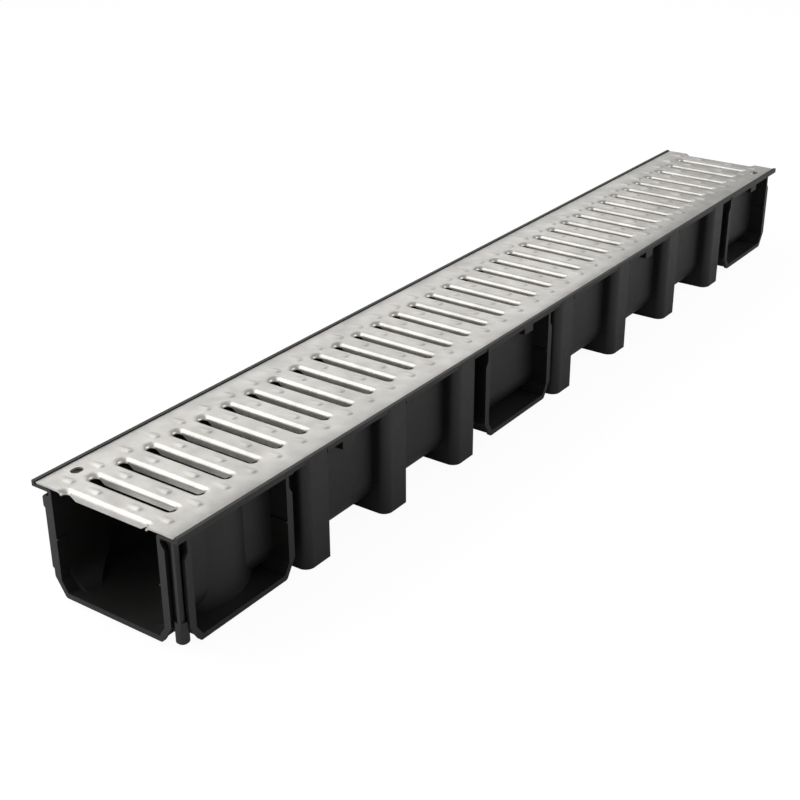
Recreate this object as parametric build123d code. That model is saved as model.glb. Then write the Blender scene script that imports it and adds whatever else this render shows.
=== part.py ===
from build123d import *
import os

# Channel drain, one metre long and 100 mm in nominal width, as laid beside a path or a drive.
# It has two pieces: a moulded plastic channel body, and a pressed steel grating that rests in
# the rebate of its rim. X runs along the channel, Y across it and Z up. The origin is on the
# base, under the middle of the channel.

# Overall size
length = 1000.0
rim_width = 138.0
total_height = 93.0

# Channel wall
clear_width = 100.0
bay_clear_width = 106.0
wall = 3.0
floor_height = 8.5
bore_radius = 20.0

# Rim: a seat for the grating, with a lip outside it
lip_width = 3.0
lip_edge_height = 2.0
lip_edge_height_at_sockets = 4.6
lip_overhang = 1.0
seat_depth = 2.2
seat_thickness = 2.4
seat_edge_radius = 2.0

# Connection openings in both ends and in the sides
opening_chamfer_across = 5.5
opening_chamfer_up = 8.6
end_opening_depth = 9.0
flange_depth = 3.0
flange_width = 3.3
flange_underside = 4.0
flange_chamfer_across = 9.5
flange_chamfer_up = 15.0
flange_corner_radius = 3.0
end_flange_top_below_rim = 8.0
socket_flange_top_below_rim = 15.5
flange_top_slope = 5.0
catch_height = 51.0
catch_size = 1.3

# Side sockets, closed towards the bore by a panel thin enough to cut out
near_socket_from_end = 62.5
far_socket_from_end = 68.0
middle_socket_place = -69.0
socket_width = 98.0
socket_face_inset = 2.0
panel_thickness = 1.5

# Pipe outlet through the floor at one socket, closed by a thin disc until it is needed
outlet_outer_radius = 55.0
outlet_wall = 3.0
outlet_disc_thickness = 1.5

# Pillars that stiffen the side between the sockets and stand on the ground
pillar_width = 28.0
pillar_wall = 2.6
pillars_per_bay = (3, 4)
pillar_after_socket = (25.5, 22.5)
pillar_before_socket = (34.8, 36.5)
pillar_near_edge_radius = 8.0
pillar_far_edge_chamfer = 1.0
pillar_top_fillet = 3.5

# Post with a locating pin at one corner of each end, and a stop at the other, for the next
# channel in the run
pin_radius = 4.9
pin_from_end = 5.5
pin_from_middle = 61.0
pin_bottom = 7.0
pin_top = 25.0
pin_chamfer = 1.2
post_length = 4.2
post_thickness = 2.6
post_from_end = 1.0
post_from_middle = 63.1
web_thickness = 2.5
web_bottom = 13.5
stop_thickness = 3.0
stop_reach = 3.0
stop_height = 11.0
stop_chamfer = 1.8

# Lugs under the seat, against the channel wall
lug_length = 14.0
lug_reach = 62.0
lug_height = 12.0
lug_after_socket_centre = 23.0
first_bay_lug_after_pillar = 47.5
second_bay_lug_after_pillar = 71.0

# Grating
sheet = 1.5
grating_end_clearance = 0.6
grating_side_clearance = 0.5
nominal_slot_pitch = 27.7
slot_length = 80.0
slot_opening = 9.8
slot_tip_chamfer = 2.2
slot_bend = 2.8
slot_lip_depth = 7.0
margin_width = 12.5
margin_drop = 0.3
fixing_hole_length = 10.0
fixing_hole_width = 8.0
fixing_hole_from_middle = 54.0

# Levels and half widths that several features share
seat_top = total_height - seat_depth
seat_underside = seat_top - seat_thickness
half_length = length / 2
half_rim = rim_width / 2
half_clear = clear_width / 2
lip_underside = total_height - lip_edge_height
lip_inner_face = half_rim - lip_width
rim_web_face = half_rim - lip_overhang
socket_face = half_rim - socket_face_inset
socket_outer_half = socket_width / 2 + wall + flange_width
near_socket_place = near_socket_from_end - half_length
far_socket_place = half_length - far_socket_from_end
socket_centres = (near_socket_place, middle_socket_place, far_socket_place)
outlet_centre = socket_centres[0]
trough_underside = floor_height - wall
disc_underside = floor_height - outlet_disc_thickness
slot_lip_length = slot_length - 2 * slot_tip_chamfer


def trough_outline(half_width, bottom, radius, top):
    """U-shaped outline in the section plane, with round lower corners."""
    outline = Pos(0, (top + bottom) / 2) * Rectangle(2 * half_width, top - bottom)
    lower_corners = outline.vertices().sort_by(Axis.Y)[:2]
    return fillet(lower_corners, radius)


def chamfered_outline(half_width, bottom, across, up, top):
    """Upright outline in the section plane, with its two lower corners cut off."""
    right = [(half_width, top), (half_width, bottom + up), (half_width - across, bottom)]
    left = [(-x, z) for x, z in reversed(right)]
    return make_face(Polyline(*right, *left, close=True))


def along_x(outline, start, end):
    """Prism of a section outline from one place along the channel to another."""
    return extrude(Plane((start, 0, 0), x_dir=(0, 1, 0), z_dir=(1, 0, 0)) * outline, end - start)


def block(x_range, y_range, z_range):
    """Box between two values on each axis."""
    size = [high - low for low, high in (x_range, y_range, z_range)]
    middle = [(high + low) / 2 for low, high in (x_range, y_range, z_range)]
    return Pos(*middle) * Box(*size)


def standing_cylinder(radius, bottom, top):
    """Upright cylinder on the outlet's axis."""
    cylinder = Cylinder(radius, top - bottom, align=(Align.CENTER, Align.CENTER, Align.MIN))
    return Pos(outlet_centre, 0, bottom) * cylinder


def socket_spans():
    """Stretches of the side that the socket flanges take, as start and end."""
    return [(centre - socket_outer_half, centre + socket_outer_half) for centre in socket_centres]


def bays():
    """Stretches of wall between the side sockets, as start and end."""
    spans = socket_spans()
    return [(spans[i][1], spans[i + 1][0]) for i in range(len(spans) - 1)]


def pillar_centres():
    """Pillar places in each bay, evenly spaced between a first and a last one."""
    places = []
    for bay, (start, end) in enumerate(bays()):
        first = start + pillar_after_socket[bay]
        gaps = pillars_per_bay[bay] - 1
        pitch = (end - pillar_before_socket[bay] - first) / gaps
        places.append([first + i * pitch for i in range(gaps + 1)])
    return places


def end_opening_outline():
    return chamfered_outline(
        half_clear, floor_height, opening_chamfer_across, opening_chamfer_up, seat_underside)


def bore():
    """Everything that is cut out of the middle: the bore, its wider bays, the mouths in the
    ends, and the well of the outlet above and below its disc."""
    above = total_height + 1
    narrow = trough_outline(half_clear, floor_height, bore_radius, above)
    wide = trough_outline(bay_clear_width / 2, floor_height, bore_radius, above)
    cut = along_x(narrow, -half_length, half_length)
    for start, end in bays():
        cut += along_x(wide, start + wall, end - wall)
    mouth = end_opening_outline()
    cut += along_x(mouth, -half_length, -half_length + end_opening_depth)
    cut += along_x(mouth, half_length - end_opening_depth, half_length)
    well_radius = outlet_outer_radius - outlet_wall
    cut += standing_cylinder(well_radius, floor_height, above)
    cut += standing_cylinder(well_radius, 0, disc_underside)
    return cut


def trough():
    """Outside of the channel wall, still solid: thin behind the sockets and wider in the bays."""
    narrow = trough_outline(
        half_clear + wall, trough_underside, bore_radius + wall, seat_underside)
    at_socket = trough_outline(
        half_clear + panel_thickness, trough_underside, bore_radius + panel_thickness,
        seat_underside)
    wide = trough_outline(
        bay_clear_width / 2 + wall, trough_underside, bore_radius + wall, seat_underside)
    inside = socket_width / 2
    starts = [-half_length] + [centre + inside for centre in socket_centres]
    ends = [centre - inside for centre in socket_centres] + [half_length]
    body = Part()
    for start, end in zip(starts, ends):
        body += along_x(narrow, start, end)
    for centre in socket_centres:
        body += along_x(at_socket, centre - inside, centre + inside)
    for start, end in bays():
        body += along_x(wide, start, end)
    return body


def rim_side():
    """Seat, web and lip of the rim on the side that faces +Y, with a deeper edge by the sockets."""
    round_start = (half_clear, seat_top - seat_edge_radius)
    round_end = (half_clear + seat_edge_radius, seat_top)
    outline = [
        RadiusArc(round_start, round_end, seat_edge_radius),
        Polyline(
            round_end,
            (lip_inner_face, seat_top),
            (lip_inner_face, total_height),
            (half_rim, total_height),
            (half_rim, lip_underside),
            (rim_web_face, lip_underside),
            (rim_web_face, seat_underside),
            (half_clear, seat_underside),
            round_start)]
    rim = along_x(make_face(outline), -half_length, half_length)
    edge_levels = (total_height - lip_edge_height_at_sockets, lip_underside)
    spans = socket_spans()
    edge_starts = [-half_length] + [start for start, end in spans[1:]]
    edge_ends = [end for start, end in spans[:-1]] + [half_length]
    for span in zip(edge_starts, edge_ends):
        rim += block(span, (rim_web_face, half_rim), edge_levels)
    return rim


def flange_outline(half_width, top):
    """Outer outline of a connection flange: round lower corners, and shoulders that slope up to
    the wall inside it."""
    flange = chamfered_outline(
        half_width, flange_underside, flange_chamfer_across, flange_chamfer_up, top)
    lower_corners = flange.vertices().sort_by(Axis.Y)[:4]
    flange = fillet(lower_corners, flange_corner_radius)
    for side in (-1, 1):
        flange -= make_face(Polyline(
            (side * half_width, top),
            (side * (half_width - flange_width), top),
            (side * half_width, top - flange_top_slope),
            close=True))
    return flange


def connector(width, flange_top, reach):
    """Solid of one connection frame in its own plane: its mouth is at zero, with a flange round
    it, and its walls run along the plane's normal."""
    opening = chamfered_outline(
        width / 2, floor_height, opening_chamfer_across, opening_chamfer_up,
        seat_underside - wall)
    frame = extrude(offset(opening, wall, kind=Kind.INTERSECTION), reach)
    return frame + extrude(flange_outline(width / 2 + wall + flange_width, flange_top), flange_depth)


def end_frame():
    """Connection frame of the near end, still solid inside."""
    mouth = Plane((-half_length, 0, 0), x_dir=(0, 1, 0), z_dir=(1, 0, 0))
    flange_top = total_height - end_flange_top_below_rim
    return mouth * connector(clear_width, flange_top, end_opening_depth + wall)


def end_catches():
    """Small ribs on the inner side walls of the near end's mouth."""
    depth = (-half_length, -half_length + end_opening_depth)
    levels = (catch_height - catch_size / 2, catch_height + catch_size / 2)
    rib = block(depth, (half_clear - catch_size, half_clear), levels)
    return rib + mirror(rib, Plane.XZ)


def side_socket(centre):
    """Connection frame in the side wall, hollow from its mouth to the channel wall behind it."""
    mouth = Plane((centre, -socket_face, 0), x_dir=(-1, 0, 0), z_dir=(0, 1, 0))
    reach = socket_face - half_clear + bore_radius
    flange_top = total_height - socket_flange_top_below_rim
    opening = chamfered_outline(
        socket_width / 2, floor_height, opening_chamfer_across, opening_chamfer_up, seat_underside)
    frame = connector(socket_width, flange_top, reach) - extrude(opening, reach)
    catch_inset = (socket_width - catch_size) / 2
    for side in (-1, 1):
        catch = Pos(side * catch_inset, catch_height, reach / 2)
        frame += catch * Box(catch_size, catch_size, reach)
    return mouth * frame


def pillar(centre):
    """Hollow pillar, flush with the rim's edge and open below, that stands on the ground."""
    half = pillar_width / 2
    reach = half_rim - half_clear + bore_radius
    plan = Pos(0, -half_rim + reach / 2) * Rectangle(pillar_width, reach)
    near_corner, far_corner = plan.vertices().sort_by(Axis.Y)[:2].sort_by(Axis.X)
    plan = fillet(near_corner, pillar_near_edge_radius)
    far_corner = plan.vertices().sort_by(Axis.X)[-2:].sort_by(Axis.Y)[0]
    plan = chamfer(far_corner, pillar_far_edge_chamfer)
    column = extrude(plan, lip_underside)
    pocket_half = half - pillar_wall
    pocket_top = seat_underside - pillar_wall
    column -= block((-pocket_half, pocket_half), (-half_rim + pillar_wall, 0), (0, pocket_top))
    column -= block((-half, half), (-lip_inner_face, 0), (seat_top, total_height))
    radius = pillar_top_fillet
    corner = Pos(radius / 2, -radius / 2) * Rectangle(radius, radius)
    corner -= Pos(radius, -radius) * Circle(radius)
    front = Plane((half, -half_rim + pillar_wall, lip_underside), x_dir=(1, 0, 0), z_dir=(0, -1, 0))
    column += front * extrude(corner, pillar_wall)
    return Pos(centre, 0, 0) * column


def corner_post():
    """Post, web and locating pin at the near corner of the side that faces -Y."""
    pin_x = -half_length + pin_from_end
    pin = Cylinder(pin_radius, pin_top - pin_bottom, align=(Align.CENTER, Align.CENTER, Align.MIN))
    pin = chamfer(pin.edges().sort_by(Axis.Z)[0], pin_chamfer)
    post_x = -half_length + post_from_end
    post = block(
        (post_x, post_x + post_length),
        (-post_from_middle - post_thickness / 2, -post_from_middle + post_thickness / 2),
        (pin_top - pin_radius, seat_underside))
    web = block(
        (pin_x - web_thickness / 2, pin_x + web_thickness / 2),
        (-post_from_middle, -half_clear),
        (web_bottom, seat_underside))
    return Pos(pin_x, -pin_from_middle, pin_bottom) * pin + post + web


def corner_stop():
    """Small stop outside the near flange's upper corner, on the side that faces +Y."""
    flange_edge = half_clear + wall + flange_width
    top = total_height - end_flange_top_below_rim
    stop = block(
        (-half_length, -half_length + stop_thickness),
        (half_clear + wall, flange_edge + stop_reach),
        (top - stop_height, top))
    outer_edges = stop.edges().filter_by(Axis.X).sort_by(Axis.Y)[-2:]
    return chamfer(outer_edges, stop_chamfer)


def lug_centres():
    first_bay, second_bay = pillar_centres()
    return [
        first_bay[0] + first_bay_lug_after_pillar,
        socket_centres[1] + lug_after_socket_centre,
        second_bay[1] + second_bay_lug_after_pillar,
        socket_centres[2] + lug_after_socket_centre]


def lug(centre):
    """Short lug under the seat, against the channel wall."""
    return block(
        (centre - lug_length / 2, centre + lug_length / 2),
        (-lug_reach, -half_clear),
        (seat_underside - lug_height, seat_underside))


def channel_body():
    side = mirror(rim_side(), Plane.XZ)
    for centre in socket_centres:
        side += side_socket(centre)
    for centre in sum(pillar_centres(), []):
        side += pillar(centre)
    for centre in lug_centres():
        side += lug(centre)
    near_end = end_frame()
    corner = corner_post() + corner_stop()
    body = side + mirror(side, Plane.XZ)
    body += corner
    body += Rot(0, 0, 180) * corner
    body += trough()
    body += standing_cylinder(outlet_outer_radius, flange_underside, seat_underside)
    body += near_end
    body += mirror(near_end, Plane.YZ)
    body -= bore()
    catches = end_catches()
    body += catches
    body += mirror(catches, Plane.YZ)
    return body


def slot_places():
    """Middle of every full slot, and of the half slot at each end where the sheet is cut. The
    pitch is the nominal one, changed a little so that it divides the sheet's length."""
    sheet_length = length - 2 * grating_end_clearance
    gaps = round(sheet_length / nominal_slot_pitch)
    pitch = sheet_length / gaps
    return [i * pitch - sheet_length / 2 for i in range(gaps + 1)]


def slot_cut():
    """Hole that one slot needs in the flat sheet: the opening itself, and the room beside it for
    the bends along its two sides."""
    opening = Rectangle(slot_opening, slot_length)
    opening = chamfer(opening.vertices(), slot_tip_chamfer)
    return opening + Rectangle(slot_opening + 2 * slot_bend, slot_lip_length)


def sheet_blank():
    """Sheet with sloping margins, cut out where every slot and fixing hole goes."""
    half_width = lip_inner_face - grating_side_clearance
    flat_half = half_width - margin_width
    upper = [(half_width, seat_top), (flat_half, seat_top + margin_drop)]
    lower_side = upper + [(-y, z) for y, z in reversed(upper)]
    upper_side = [(y, z + sheet) for y, z in reversed(lower_side)]
    end = half_length - grating_end_clearance
    blank = along_x(make_face(Polyline(*lower_side, *upper_side, close=True)), -end, end)
    slot = slot_cut()
    cuts = Sketch() + [Pos(place, 0) * slot for place in slot_places()]
    hole = SlotOverall(fixing_hole_length, fixing_hole_width)
    for side in (-1, 1):
        cuts += Pos(side * slot_places()[-2], -side * fixing_hole_from_middle) * hole
    return blank - extrude(cuts, total_height)


def side_lip():
    """Lip along the +X side of a slot: a bend that turns the flat sheet down into a wall."""
    top = seat_top + margin_drop + sheet
    inner = slot_opening / 2
    edge = inner + slot_bend
    outline = Polyline(
        (edge, top),
        (inner, top - slot_bend),
        (inner, top - slot_lip_depth),
        (inner + sheet, top - slot_lip_depth),
        (inner + sheet, top - slot_bend),
        (edge, top - sheet),
        close=True)
    lip = extrude(Plane.XZ * make_face(outline), slot_lip_length)
    return Pos(0, slot_lip_length / 2, 0) * lip


def grating():
    """Pressed sheet with a drawn lip along both sides of every slot, and along the one side that
    is left of the half slot at each end."""
    places = slot_places()
    far_lip = side_lip()
    near_lip = mirror(far_lip, Plane.YZ)
    pressed = sheet_blank()
    for place in places[:-1]:
        pressed += Pos(place, 0, 0) * far_lip
    for place in places[1:]:
        pressed += Pos(place, 0, 0) * near_lip
    return pressed


os.makedirs("parts", exist_ok=True)
export_step(channel_body(), "parts/channel_body.step")
export_step(grating(), "parts/grating.step")
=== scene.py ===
import math

import bmesh
import bpy
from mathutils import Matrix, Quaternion, Vector


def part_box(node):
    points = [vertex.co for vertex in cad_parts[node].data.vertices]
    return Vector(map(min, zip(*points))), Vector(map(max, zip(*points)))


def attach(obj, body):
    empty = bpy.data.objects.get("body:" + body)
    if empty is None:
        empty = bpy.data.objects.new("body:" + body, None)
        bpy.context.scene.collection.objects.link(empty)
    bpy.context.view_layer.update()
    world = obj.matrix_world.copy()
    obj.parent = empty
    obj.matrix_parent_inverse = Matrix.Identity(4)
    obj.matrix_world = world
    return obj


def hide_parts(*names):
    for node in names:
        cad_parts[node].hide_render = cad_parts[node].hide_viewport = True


# The looks of a channel drain: a galvanised, pressed grating in a black moulded channel. The
# channel is shown as the frame has it. The grating is built again here with its soft bends,
# dished slot tips and raised grip marks. All sizes are in metres.

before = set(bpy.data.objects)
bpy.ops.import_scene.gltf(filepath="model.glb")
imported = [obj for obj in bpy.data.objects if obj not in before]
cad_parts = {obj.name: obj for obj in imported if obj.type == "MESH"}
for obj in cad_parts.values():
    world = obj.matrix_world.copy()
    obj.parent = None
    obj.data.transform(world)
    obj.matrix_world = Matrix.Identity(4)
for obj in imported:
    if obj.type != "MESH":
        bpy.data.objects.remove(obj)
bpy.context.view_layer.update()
grating_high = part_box("grating")[1]
MM = 0.001

# Pressed sheet: flat in the middle, with margins that slope down to edges turned down
SHEET = 1.5 * MM
MARGIN_WIDTH = 12.5 * MM
MARGIN_DROP = 0.3 * MM
MARGIN_SEAM = 1.2 * MM
EDGE_WIDTH = 0.4 * MM
EDGE_DROP = 0.3 * MM
SHARP_ANGLE = math.radians(40)

# Slots across the sheet
SLOT_GAPS = 36
SLOT_HALF_WIDTH = 4.3 * MM
SLOT_HALF_LENGTH = 39.7 * MM
SLOT_CORNER = 3.8 * MM

# Lips drawn down round the slots: deep along the sides, rising to the corners and the tips
SIDE_BEND = 3.5 * MM
SIDE_LIP_DEPTH = 7.0 * MM
DEEP_HALF_LENGTH = 31.0 * MM
TIP_BEND = 4.8 * MM
TIP_LIP_DEPTH = 3.3 * MM
CORNER_LIP_DEPTH = 3.9 * MM
LIP_EDGE = 0.2 * MM
SOFT_EDGE = 0.35 * MM

# Sections along a slot's side, steps round its corner and steps down each bend
DEEP_SHARES = (0, 0.3, 0.6, 1)
RISING_SHARES = (0.25, 0.5, 0.75, 1)
CORNER_STEPS = 7
TURNING_STEPS = 4
BEND_STEPS = 6

# Grip marks along each bar between two slots: a gentle rise to a crest, then a steep fall
GRIP_PLACES = (-49.0 * MM, -20.3 * MM, 17.9 * MM, 44.5 * MM)
GRIP_HEIGHT = 0.78 * MM
GRIP_SIDE = 1.2 * MM
GRIP_RISE_ALONG = 14.0 * MM
GRIP_FALL_ALONG = 3.6 * MM
GRIP_RISE_ACROSS = 5.6 * MM
GRIP_FALL_ACROSS = 2.9 * MM
GRIP_SINK = 0.02 * MM
GRIP_COLUMNS = 10
GRIP_ROWS = 22
GRIP_CROWDING = 1.5

# Fixing holes in the margins
HOLE_LENGTH = 10.0 * MM
HOLE_WIDTH = 8.0 * MM
HOLE_FROM_MIDDLE = 54.0 * MM
HOLE_SEGMENTS = 40
CUTTER_DEPTH = 20 * MM

# Corners nearer than this are one corner, and their coordinates are compared to these digits
SAME_PLACE = 1e-6
KEY_DIGITS = 7
NEARLY_ZERO = 1e-9

# Galvanised steel: colours at their places in the noise, roughness and fine rolling lines
STEEL_METALLIC = 0.72
STEEL_COLOURS = ((0.3, (0.52, 0.505, 0.48)), (0.7, (0.68, 0.662, 0.63)))
STEEL_BLOTCHES = 60.0
STEEL_ROUGHNESS = (0.26, 0.44)
STEEL_ROUGH_SPOTS = 240.0
STEEL_LINES = 90.0
STEEL_LINE_STRETCH = (1.0, 14.0, 1.0)
STEEL_BUMP_STRENGTH = 0.2
STEEL_BUMP_DISTANCE = 0.4 * MM

# Black plastic: faint clouds of colour, roughness and a fine grain
PLASTIC_COLOURS = ((0.3, (0.0054, 0.0050, 0.0047)), (0.75, (0.0084, 0.0078, 0.0072)))
PLASTIC_CLOUDS = 26.0
PLASTIC_ROUGHNESS = (0.42, 0.56)
PLASTIC_ROUGH_SPOTS = 120.0
PLASTIC_GRAIN = 700.0
PLASTIC_BUMP_STRENGTH = 0.10
PLASTIC_BUMP_DISTANCE = 0.3 * MM

NOISE_DETAIL = 3.0

# Floor and world: what they give as light, and how white they look to the camera
FLOOR_SIZE = 12
FLOOR_COLOUR = (0.75, 0.75, 0.75, 1)
FLOOR_ROUGHNESS = 0.9
FLOOR_GLOW = 1.05
FLOOR_GLOW_SHARE = 0.9
WORLD_COLOUR = (1, 1, 1, 1)
WORLD_LIGHT = 0.38
WORLD_SEEN = 1.0

# Lamps: name, place, what they point at, width and height, and power in watts
LAMPS = (
    ("top_left", (-0.73, 1.06, 1.22), (-0.15, 0, 0.09), (2.2, 1.4), 19.5),
    ("back", (1.1, 1.4, 1.1), (-0.1, 0, 0.09), (2.2, 1.1), 6.6),
    ("right", (1.0, -1.45, 1.05), (0, 0, 0.05), (1.6, 0.8), 11),
    ("left", (-1.9, 0.5, 0.5), (-0.4, 0, 0.05), (1.4, 0.8), 8),
    ("front", (-0.3, -2.0, 0.5), (0, 0, 0.05), (1.8, 0.8), 1.5),
)

# Photograph's camera
PHOTO_PIXELS = 800
FOCAL_PIXELS = 1415.3
SENSOR_WIDTH = 36.0
CAMERA_PLACE = Vector((-1.05058, -0.63829, 0.56968))
CAMERA_TARGET = Vector((-0.25059, -0.06749, 0.093))
CAMERA_ROLL = -0.00504

sheet_top = grating_high.z
sheet_half_length = grating_high.x
sheet_half_width = grating_high.y
flat_half_width = sheet_half_width - MARGIN_WIDTH
slot_pitch = 2 * sheet_half_length / SLOT_GAPS
tile_half = slot_pitch / 2


def ring_stations():
    """Places round one quarter of a slot, from the middle of its +X side to the middle of its
    +Y tip: point on the opening's edge, outward direction, bend radius and lip depth."""
    stations = []
    corner = Vector((SLOT_HALF_WIDTH - SLOT_CORNER, SLOT_HALF_LENGTH - SLOT_CORNER))
    for share in DEEP_SHARES:
        y = share * DEEP_HALF_LENGTH
        stations.append((Vector((SLOT_HALF_WIDTH, y)), Vector((1, 0)), SIDE_BEND, SIDE_LIP_DEPTH))
    for share in RISING_SHARES:
        y = DEEP_HALF_LENGTH + share * (corner.y - DEEP_HALF_LENGTH)
        depth = SIDE_LIP_DEPTH + share * (CORNER_LIP_DEPTH - SIDE_LIP_DEPTH)
        stations.append((Vector((SLOT_HALF_WIDTH, y)), Vector((1, 0)), SIDE_BEND, depth))
    for i in range(1, CORNER_STEPS + 1):
        angle = math.pi / 2 * i / CORNER_STEPS
        outward = Vector((math.cos(angle), math.sin(angle)))
        turn = min(1.0, i / TURNING_STEPS)
        bend = SIDE_BEND + (TIP_BEND - SIDE_BEND) * turn
        depth = CORNER_LIP_DEPTH + (TIP_LIP_DEPTH - CORNER_LIP_DEPTH) * turn
        stations.append((corner + SLOT_CORNER * outward, outward, bend, depth))
    stations.append((Vector((0, SLOT_HALF_LENGTH)), Vector((0, 1)), TIP_BEND, TIP_LIP_DEPTH))
    return stations


def mirrored(station, x_sign, y_sign):
    point, outward, bend, depth = station
    flip = Vector((x_sign, y_sign))
    return point * flip, outward * flip, bend, depth


def whole_ring():
    """Stations all the way round a slot, turning from +X through +Y."""
    quarter = ring_stations()
    half = quarter + [mirrored(s, -1, 1) for s in reversed(quarter[:-1])]
    return half + [mirrored(s, 1, -1) for s in reversed(half[1:-1])]


def lip_profile(station):
    """Points down one section of a lip, from the flat sheet over the bend to the lip's edge."""
    point, outward, bend, depth = station
    fall = min(SIDE_BEND, depth - LIP_EDGE)
    points = [(point + outward * (bend + SOFT_EDGE), 0.0)]
    for i in range(BEND_STEPS + 1):
        angle = math.pi / 2 * i / BEND_STEPS
        reach = bend * (1 - math.sin(angle))
        points.append((point + outward * reach, fall * (math.cos(angle) - 1)))
    points.append((point, -depth))
    return points


def border_point(flat_point):
    """Where the line from the slot's middle line through a point meets the edge of its tile."""
    x, y = flat_point
    end = SLOT_HALF_LENGTH - SLOT_CORNER
    if abs(y) <= end:
        return Vector((math.copysign(tile_half, x), y))
    beyond = abs(y) - end
    room = flat_half_width - end
    scale = min(tile_half / max(abs(x), NEARLY_ZERO), room / beyond)
    return Vector((x * scale, math.copysign(end + beyond * scale, y)))


def side_of(value):
    return int(math.copysign(1, value))


def sheet_height(y):
    """Height of the sheet's top under its flat middle, where the margins slope down."""
    beyond = max(0.0, abs(y) - flat_half_width)
    past_edge = max(0.0, abs(y) - (sheet_half_width - EDGE_WIDTH))
    return -MARGIN_DROP * beyond / MARGIN_WIDTH - EDGE_DROP * (past_edge / EDGE_WIDTH) ** 2


def add_tile(mesh, place, sides):
    """One slot with half a bar on each side of it, or on one side of it at the sheet's ends."""
    columns = []
    for station in whole_ring():
        profile = lip_profile(station)
        columns.append([(border_point(profile[0][0]), 0.0)] + profile)
    made = {}
    edges = {-1: set(), 1: set()}

    def vertex(flat, z):
        key = round(flat.x, KEY_DIGITS), round(flat.y, KEY_DIGITS), round(z, KEY_DIGITS)
        if key not in made:
            made[key] = mesh.verts.new((place + flat.x, flat.y, sheet_top + z))
        return made[key]

    for here, there in zip(columns, columns[1:] + columns[:1]):
        start, end = here[0][0], there[0][0]
        middle = (start.x + end.x) / 2
        if side_of(middle) not in sides:
            continue
        for i in range(len(here) - 1):
            corners = (here[i], there[i], there[i + 1], here[i + 1])
            mesh.faces.new([vertex(*c) for c in corners])
        if abs(start.x - end.x) > SAME_PLACE and abs(start.y - end.y) > SAME_PLACE:
            corner = Vector((side_of(middle) * tile_half, side_of(start.y) * flat_half_width))
            mesh.faces.new((vertex(start, 0.0), vertex(corner, 0.0), vertex(end, 0.0)))
            edges[side_of(corner.y)].add(round(corner.x, KEY_DIGITS))
        for point in (start, end):
            if abs(abs(point.y) - flat_half_width) < SAME_PLACE:
                edges[side_of(point.y)].add(round(point.x, KEY_DIGITS))
    for side, across in edges.items():
        add_margin(mesh, vertex, side, sorted(across, reverse=side < 0))


def add_margin(mesh, vertex, side, across):
    """Sloping strip between one tile and the long edge of the sheet."""
    edge = sheet_half_width - EDGE_WIDTH
    seam = flat_half_width + MARGIN_SEAM
    rows = (flat_half_width, seam, edge, edge + EDGE_WIDTH / 2, sheet_half_width)
    for near, far in zip(across, across[1:]):
        for low, high in zip(rows, rows[1:]):
            corners = [(near, low), (far, low), (far, high), (near, high)]
            mesh.faces.new([vertex(Vector((x, side * y)), sheet_height(y)) for x, y in corners])


def grip_height(across, along):
    """Height of a grip mark over the sheet, at a place measured from the mark's crest."""
    sideways = across / (GRIP_RISE_ACROSS if across < 0 else GRIP_FALL_ACROSS)
    lengthways = along / (GRIP_RISE_ALONG if along > 0 else GRIP_FALL_ALONG)
    reach = min(1.0, math.hypot(sideways, lengthways))
    return GRIP_HEIGHT * (1 - reach * reach) ** 2


def add_grip(mesh, x, y):
    """One raised grip mark, a closed lens sunk in the sheet so that its rim fades into it."""
    grid = []
    for i in range(GRIP_ROWS + 1):
        share = (i / GRIP_ROWS) ** GRIP_CROWDING
        along = -GRIP_FALL_ALONG + (GRIP_RISE_ALONG + GRIP_FALL_ALONG) * share
        row = []
        for j in range(GRIP_COLUMNS + 1):
            across = -GRIP_RISE_ACROSS + (GRIP_RISE_ACROSS + GRIP_FALL_ACROSS) * j / GRIP_COLUMNS
            height = sheet_height(y + along) + grip_height(across, along) - GRIP_SINK
            row.append(mesh.verts.new((x + GRIP_SIDE + across, y + along, sheet_top + height)))
        grid.append(row)
    for low, high in zip(grid, grid[1:]):
        for j in range(GRIP_COLUMNS):
            mesh.faces.new((low[j], low[j + 1], high[j + 1], high[j]))
    rim = grid[0] + [row[-1] for row in grid[1:]]
    rim += grid[-1][-2::-1] + [row[0] for row in grid[-2:0:-1]]
    depth = sheet_top + sheet_height(y) - SHEET / 2
    under = [mesh.verts.new((vertex.co.x, vertex.co.y, depth)) for vertex in rim]
    for i in range(len(rim)):
        mesh.faces.new((rim[i - 1], under[i - 1], under[i], rim[i]))
    mesh.faces.new(under[::-1])


def slot_places():
    """Middle of every full slot, and of the half slot at each end."""
    return [i * slot_pitch - sheet_half_length for i in range(SLOT_GAPS + 1)]


def new_object(name, mesh):
    """Object made from an edit mesh, which this frees."""
    data = bpy.data.meshes.new(name)
    mesh.to_mesh(data)
    mesh.free()
    made = bpy.data.objects.new(name, data)
    bpy.context.scene.collection.objects.link(made)
    return made


def hole_cutter(x, y):
    """Upright oval bar that cuts a fixing hole."""
    mesh = bmesh.new()
    bmesh.ops.create_cone(
        mesh, cap_ends=True, segments=HOLE_SEGMENTS, radius1=HOLE_WIDTH / 2,
        radius2=HOLE_WIDTH / 2, depth=CUTTER_DEPTH)
    for vertex in mesh.verts:
        vertex.co.x += math.copysign((HOLE_LENGTH - HOLE_WIDTH) / 2, vertex.co.x)
        vertex.co += Vector((x, y, sheet_top))
    return new_object("hole_cutter", mesh)


def all_grips(places):
    """The grip marks of every bar, as one object."""
    mesh = bmesh.new()
    for place in places[:-1]:
        for y in GRIP_PLACES:
            add_grip(mesh, place + tile_half, y)
    bmesh.ops.recalc_face_normals(mesh, faces=mesh.faces[:])
    return new_object("grip_marks", mesh)


def add_boolean(target, helper, operation):
    boolean = target.modifiers.new(helper.name, "BOOLEAN")
    boolean.operation = operation
    boolean.object = helper
    boolean.solver = "EXACT"


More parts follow.
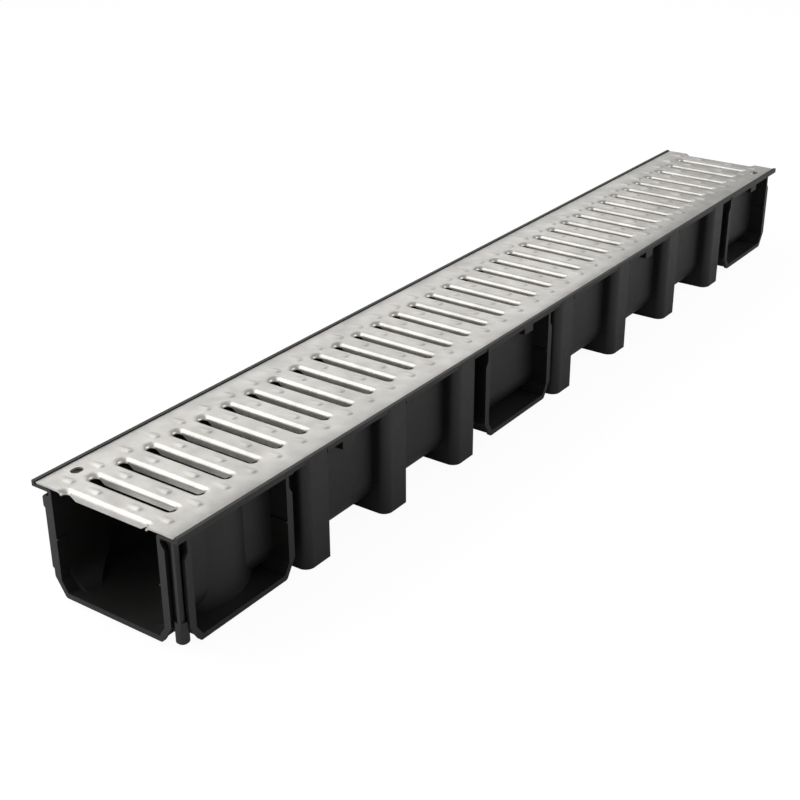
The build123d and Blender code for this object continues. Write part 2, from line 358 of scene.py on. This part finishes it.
def apply_modifiers(target):
    """Turns what the modifiers make into the object's own mesh."""
    bpy.context.view_layer.update()
    shaped = target.evaluated_get(bpy.context.evaluated_depsgraph_get())
    target.data = bpy.data.meshes.new_from_object(shaped)
    target.modifiers.clear()


def build_grating(material):
    """The whole pressed sheet, as one piece in place of the frame's plain one."""
    places = slot_places()
    mesh = bmesh.new()
    for i, place in enumerate(places):
        sides = [side for side in (-1, 1) if 0 <= i + side < len(places)]
        add_tile(mesh, place, sides)
    bmesh.ops.remove_doubles(mesh, verts=mesh.verts, dist=SAME_PLACE)
    sheet = new_object("pressed_grating", mesh)
    sheet.data.materials.append(material)
    solid = sheet.modifiers.new("thickness", "SOLIDIFY")
    solid.thickness = SHEET
    solid.offset = -1
    cutters = [hole_cutter(side * places[-2], -side * HOLE_FROM_MIDDLE) for side in (-1, 1)]
    for cutter in cutters:
        add_boolean(sheet, cutter, "DIFFERENCE")
    grips = all_grips(places)
    add_boolean(sheet, grips, "UNION")
    apply_modifiers(sheet)
    for helper in (*cutters, grips):
        bpy.data.objects.remove(helper)
    sheet.data.shade_smooth()
    sheet.data.set_sharp_from_angle(angle=SHARP_ANGLE)
    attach(sheet, "root")
    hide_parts("grating")


def new_material(name):
    material = bpy.data.materials.new(name)
    material.use_nodes = True
    nodes = material.node_tree.nodes
    return material, nodes, material.node_tree.links, nodes["Principled BSDF"]


def noise(nodes, links, coordinates, scale):
    texture = nodes.new("ShaderNodeTexNoise")
    texture.inputs["Scale"].default_value = scale
    texture.inputs["Detail"].default_value = NOISE_DETAIL
    links.new(coordinates, texture.inputs["Vector"])
    return texture.outputs["Fac"]


def vary_colour(nodes, links, shader, value, stops):
    """Base colour from a ramp with (position, colour) stops."""
    ramp = nodes.new("ShaderNodeValToRGB")
    for element, (position, colour) in zip(ramp.color_ramp.elements, stops):
        element.position = position
        element.color = (*colour, 1.0)
    links.new(value, ramp.inputs["Fac"])
    links.new(ramp.outputs["Color"], shader.inputs["Base Color"])


def vary_roughness(nodes, links, shader, value, low, high):
    spread = nodes.new("ShaderNodeMapRange")
    spread.inputs["To Min"].default_value = low
    spread.inputs["To Max"].default_value = high
    links.new(value, spread.inputs["Value"])
    links.new(spread.outputs["Result"], shader.inputs["Roughness"])


def add_bump(nodes, links, shader, height, strength, distance):
    bump = nodes.new("ShaderNodeBump")
    bump.inputs["Strength"].default_value = strength
    bump.inputs["Distance"].default_value = distance
    links.new(height, bump.inputs["Height"])
    links.new(bump.outputs["Normal"], shader.inputs["Normal"])


def galvanised_steel():
    """Zinc-coated sheet: pale, a little warm, with faint spangle and rolling lines."""
    material, nodes, links, shader = new_material("galvanised_steel")
    place = nodes.new("ShaderNodeTexCoord").outputs["Object"]
    shader.inputs["Metallic"].default_value = STEEL_METALLIC
    blotches = noise(nodes, links, place, STEEL_BLOTCHES)
    vary_colour(nodes, links, shader, blotches, STEEL_COLOURS)
    spots = noise(nodes, links, place, STEEL_ROUGH_SPOTS)
    vary_roughness(nodes, links, shader, spots, *STEEL_ROUGHNESS)
    stretch = nodes.new("ShaderNodeMapping")
    stretch.inputs["Scale"].default_value = STEEL_LINE_STRETCH
    links.new(place, stretch.inputs["Vector"])
    lines = noise(nodes, links, stretch.outputs["Vector"], STEEL_LINES)
    add_bump(nodes, links, shader, lines, STEEL_BUMP_STRENGTH, STEEL_BUMP_DISTANCE)
    return material


def black_plastic():
    """Black moulded plastic with a fine satin grain and faint cloudy wear."""
    material, nodes, links, shader = new_material("black_plastic")
    place = nodes.new("ShaderNodeTexCoord").outputs["Object"]
    clouds = noise(nodes, links, place, PLASTIC_CLOUDS)
    vary_colour(nodes, links, shader, clouds, PLASTIC_COLOURS)
    spots = noise(nodes, links, place, PLASTIC_ROUGH_SPOTS)
    vary_roughness(nodes, links, shader, spots, *PLASTIC_ROUGHNESS)
    grain = noise(nodes, links, place, PLASTIC_GRAIN)
    add_bump(nodes, links, shader, grain, PLASTIC_BUMP_STRENGTH, PLASTIC_BUMP_DISTANCE)
    return material


def dress_channel(material):
    """Gives the frame's channel its material."""
    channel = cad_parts["channel_body"]
    for slot in channel.material_slots:
        slot.material = material


def camera_sees(nodes, links):
    """One for rays from the camera, straight or through something clear, and nought for light."""
    path = nodes.new("ShaderNodeLightPath")
    seen = nodes.new("ShaderNodeMath")
    seen.operation = "MAXIMUM"
    links.new(path.outputs["Is Camera Ray"], seen.inputs[0])
    links.new(path.outputs["Is Transmission Ray"], seen.inputs[1])
    return seen.outputs[0]


def add_floor():
    """Plain pale floor that the camera sees as white, with the object's shadow on it."""
    bpy.ops.mesh.primitive_plane_add(size=FLOOR_SIZE)
    floor = bpy.context.object
    floor.name = "floor"
    material, nodes, links, shader = new_material("pale_floor")
    shader.inputs["Base Color"].default_value = FLOOR_COLOUR
    shader.inputs["Roughness"].default_value = FLOOR_ROUGHNESS
    glow = nodes.new("ShaderNodeEmission")
    glow.inputs["Strength"].default_value = FLOOR_GLOW
    share = nodes.new("ShaderNodeMath")
    share.operation = "MULTIPLY"
    share.inputs[1].default_value = FLOOR_GLOW_SHARE
    links.new(camera_sees(nodes, links), share.inputs[0])
    mix = nodes.new("ShaderNodeMixShader")
    links.new(share.outputs[0], mix.inputs["Fac"])
    links.new(shader.outputs["BSDF"], mix.inputs[1])
    links.new(glow.outputs["Emission"], mix.inputs[2])
    links.new(mix.outputs["Shader"], nodes["Material Output"].inputs["Surface"])
    floor.data.materials.append(material)


def add_lamp(name, place, target, size, power):
    data = bpy.data.lights.new(name, "AREA")
    data.shape = "RECTANGLE"
    data.size, data.size_y = size
    data.energy = power
    lamp = bpy.data.objects.new(name, data)
    lamp.location = place
    lamp.rotation_mode = "QUATERNION"
    lamp.rotation_quaternion = (Vector(target) - Vector(place)).to_track_quat("-Z", "Y")
    lamp.visible_camera = False
    bpy.context.scene.collection.objects.link(lamp)


def add_world():
    """Plain world that gives a soft light and looks white to the camera."""
    world = bpy.data.worlds.new("studio")
    world.use_nodes = True
    nodes, links = world.node_tree.nodes, world.node_tree.links
    strength = nodes.new("ShaderNodeMapRange")
    strength.inputs["To Min"].default_value = WORLD_LIGHT
    strength.inputs["To Max"].default_value = WORLD_SEEN
    links.new(camera_sees(nodes, links), strength.inputs["Value"])
    background = nodes["Background"]
    background.inputs["Color"].default_value = WORLD_COLOUR
    links.new(strength.outputs["Result"], background.inputs["Strength"])
    bpy.context.scene.world = world


def add_camera():
    data = bpy.data.cameras.new("camera")
    data.sensor_width = SENSOR_WIDTH
    data.lens = FOCAL_PIXELS / PHOTO_PIXELS * data.sensor_width
    camera = bpy.data.objects.new("camera", data)
    camera.location = CAMERA_PLACE
    camera.rotation_mode = "QUATERNION"
    looking = (CAMERA_TARGET - CAMERA_PLACE).to_track_quat("-Z", "Y")
    camera.rotation_quaternion = looking @ Quaternion((0, 0, 1), CAMERA_ROLL)
    bpy.context.scene.collection.objects.link(camera)
    bpy.context.scene.camera = camera


build_grating(galvanised_steel())
dress_channel(black_plastic())
add_floor()
add_world()
for lamp_row in LAMPS:
    add_lamp(*lamp_row)
add_camera()
bpy.context.scene.view_settings.view_transform = "Standard"
